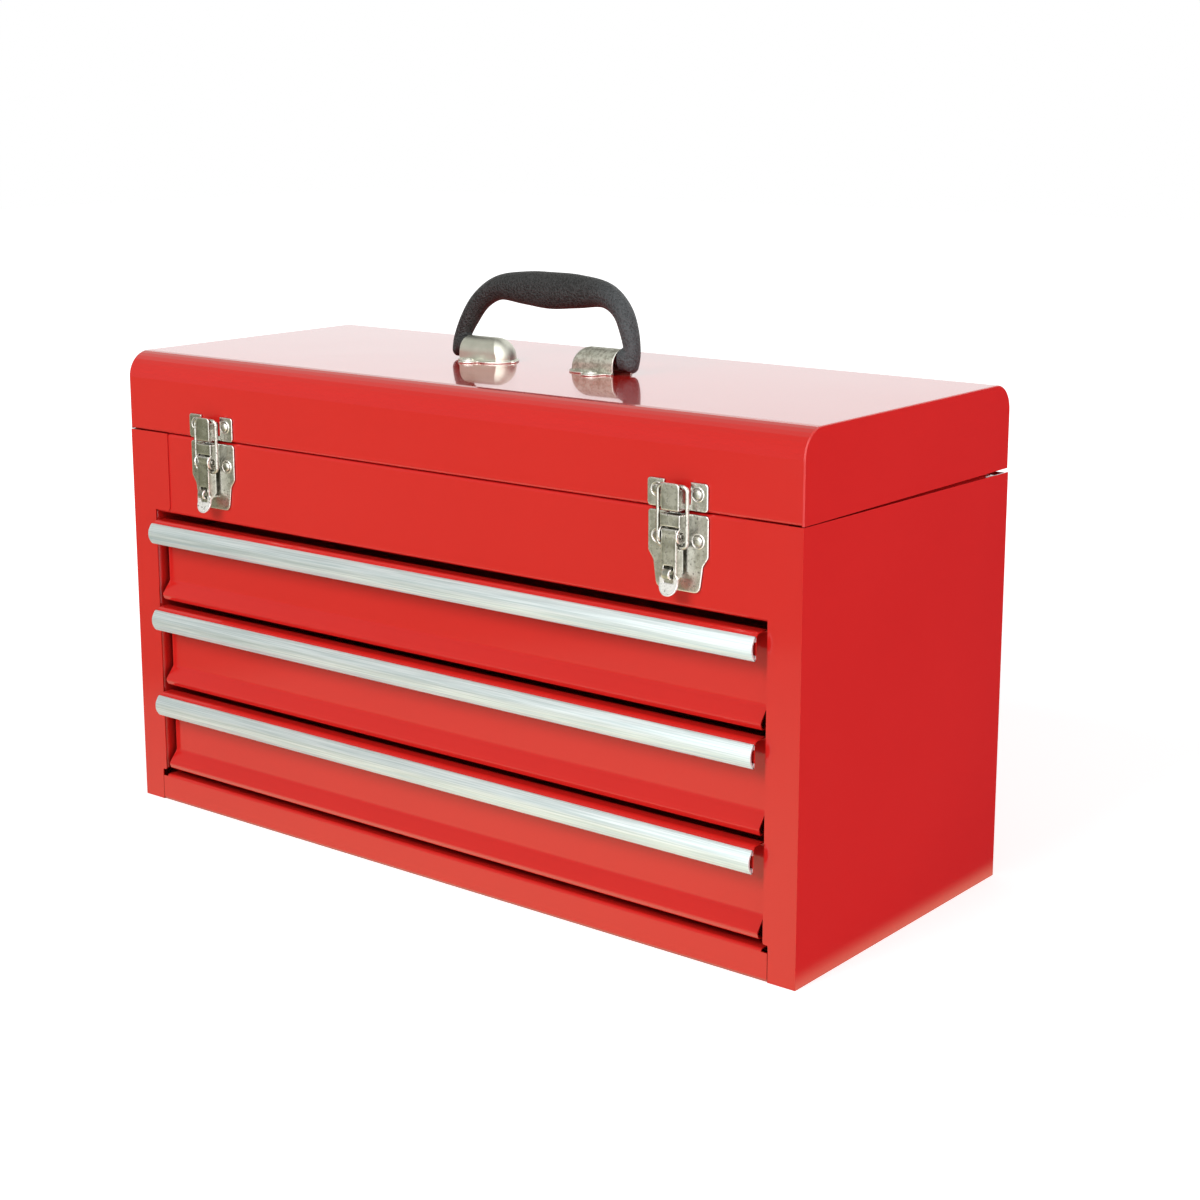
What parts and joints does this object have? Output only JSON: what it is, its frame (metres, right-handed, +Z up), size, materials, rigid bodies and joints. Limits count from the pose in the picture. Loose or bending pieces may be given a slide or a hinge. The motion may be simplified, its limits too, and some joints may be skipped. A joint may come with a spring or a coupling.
{
  "type": "portable tool box with drawers",
  "caption": "Portable sheet-steel tool box: drawers on ball slides with full-width aluminium pulls, a top compartment under a hinged lid, draw latches and a folding carrying handle.",
  "frame": {"origin": "middle of the underside of the body", "axes": "+X to the right seen from the front, +Y to the back, +Z up; the drawers open along -Y"},
  "size_m": [0.52, 0.2354, 0.3579],
  "materials": {
    "red_enamel": "gloss",
    "pull_aluminium": "brushed",
    "nickel_plate": "satin",
    "zinc_steel": "satin",
    "cage_steel": "satin",
    "black_rubber": "matte"
  },
  "bodies": {
    "cabinet": {"side_panel_left": "red_enamel", "side_panel_right": "red_enamel", "upper_front_panel": "red_enamel", "bottom_pan": "red_enamel", "back_panel": "red_enamel", "compartment_floor": "red_enamel", "slide_carrier_left": "red_enamel", "slide_carrier_right": "red_enamel", "cabinet_slides_left": "zinc_steel", "cabinet_slides_right": "zinc_steel", "hinge_body_leaf": "red_enamel", "hinge_pin": "zinc_steel", "latch_base_left": "nickel_plate", "latch_base_right": "nickel_plate", "latch_base_rivets": "nickel_plate", "latch_pivot_pins": "nickel_plate"},
    "lid": {"lid_shell": "red_enamel", "lid_end_left": "red_enamel", "lid_end_right": "red_enamel", "hinge_lid_leaf": "red_enamel", "handle_bracket_left": "nickel_plate", "handle_bracket_right": "nickel_plate", "bracket_rivets": "nickel_plate", "latch_strike_left": "nickel_plate", "latch_strike_right": "nickel_plate", "strike_rivets": "nickel_plate"},
    "handle": {"handle_grip": "black_rubber", "handle_rod": "zinc_steel"},
    "drawer_bottom": {"drawer_bottom_tray": "red_enamel", "drawer_bottom_front": "red_enamel", "drawer_bottom_pull": "pull_aluminium", "drawer_bottom_slides": "zinc_steel"},
    "cages_bottom": {"drawer_bottom_cages": "cage_steel"},
    "drawer_middle": {"drawer_middle_tray": "red_enamel", "drawer_middle_front": "red_enamel", "drawer_middle_pull": "pull_aluminium", "drawer_middle_slides": "zinc_steel"},
    "cages_middle": {"drawer_middle_cages": "cage_steel"},
    "drawer_top": {"drawer_top_tray": "red_enamel", "drawer_top_front": "red_enamel", "drawer_top_pull": "pull_aluminium", "drawer_top_slides": "zinc_steel"},
    "cages_top": {"drawer_top_cages": "cage_steel"},
    "lever_left": {"latch_lever_left": "nickel_plate"},
    "lever_right": {"latch_lever_right": "nickel_plate"},
    "bail_left": {"latch_bail_left": "nickel_plate"},
    "bail_right": {"latch_bail_right": "nickel_plate"}
  },
  "joints": [
    {"name": "lid_hinge", "type": "hinge", "parent": "cabinet", "child": "lid", "pos_m": [0, 0.1119, 0.2493], "axis": [-1, 0, 0], "range_deg": [0, 100]},
    {"name": "handle_fold", "type": "hinge", "parent": "lid", "child": "handle", "pos_m": [0, 0, 0.309], "axis": [1, 0, 0], "range_deg": [-78, 98]},
    {"name": "drawer_bottom_slide", "type": "slide", "parent": "cabinet", "child": "drawer_bottom", "axis": [0, -1, 0], "range_m": [0, 0.146]},
    {"name": "cages_bottom_slide", "type": "slide", "parent": "cabinet", "child": "cages_bottom", "axis": [0, -1, 0], "range_m": [0, 0.073]},
    {"name": "drawer_middle_slide", "type": "slide", "parent": "cabinet", "child": "drawer_middle", "axis": [0, -1, 0], "range_m": [0, 0.146]},
    {"name": "cages_middle_slide", "type": "slide", "parent": "cabinet", "child": "cages_middle", "axis": [0, -1, 0], "range_m": [0, 0.073]},
    {"name": "drawer_top_slide", "type": "slide", "parent": "cabinet", "child": "drawer_top", "axis": [0, -1, 0], "range_m": [0, 0.146]},
    {"name": "cages_top_slide", "type": "slide", "parent": "cabinet", "child": "cages_top", "axis": [0, -1, 0], "range_m": [0, 0.073]},
    {"name": "lever_left_hinge", "type": "hinge", "parent": "cabinet", "child": "lever_left", "pos_m": [-0.1818, -0.1152, 0.237], "axis": [-1, 0, 0], "range_deg": [0, 100]},
    {"name": "bail_left_hinge", "type": "hinge", "parent": "lever_left", "child": "bail_left", "pos_m": [-0.1818, -0.1143, 0.2308], "axis": [-1, 0, 0], "range_deg": [-82, 0]},
    {"name": "lever_right_hinge", "type": "hinge", "parent": "cabinet", "child": "lever_right", "pos_m": [0.1818, -0.1152, 0.237], "axis": [-1, 0, 0], "range_deg": [0, 100]},
    {"name": "bail_right_hinge", "type": "hinge", "parent": "lever_right", "child": "bail_right", "pos_m": [0.1818, -0.1143, 0.2308], "axis": [-1, 0, 0], "range_deg": [-82, 0]}
  ],
  "couplings": [
    {"joint": "cages_bottom_slide", "follows": "drawer_bottom_slide", "ratio": 0.5},
    {"joint": "cages_middle_slide", "follows": "drawer_middle_slide", "ratio": 0.5},
    {"joint": "cages_top_slide", "follows": "drawer_top_slide", "ratio": 0.5},
    {"joint": "bail_left_hinge", "follows": "lever_left_hinge", "ratio": -0.82},
    {"joint": "bail_right_hinge", "follows": "lever_right_hinge", "ratio": -0.82}
  ]
}
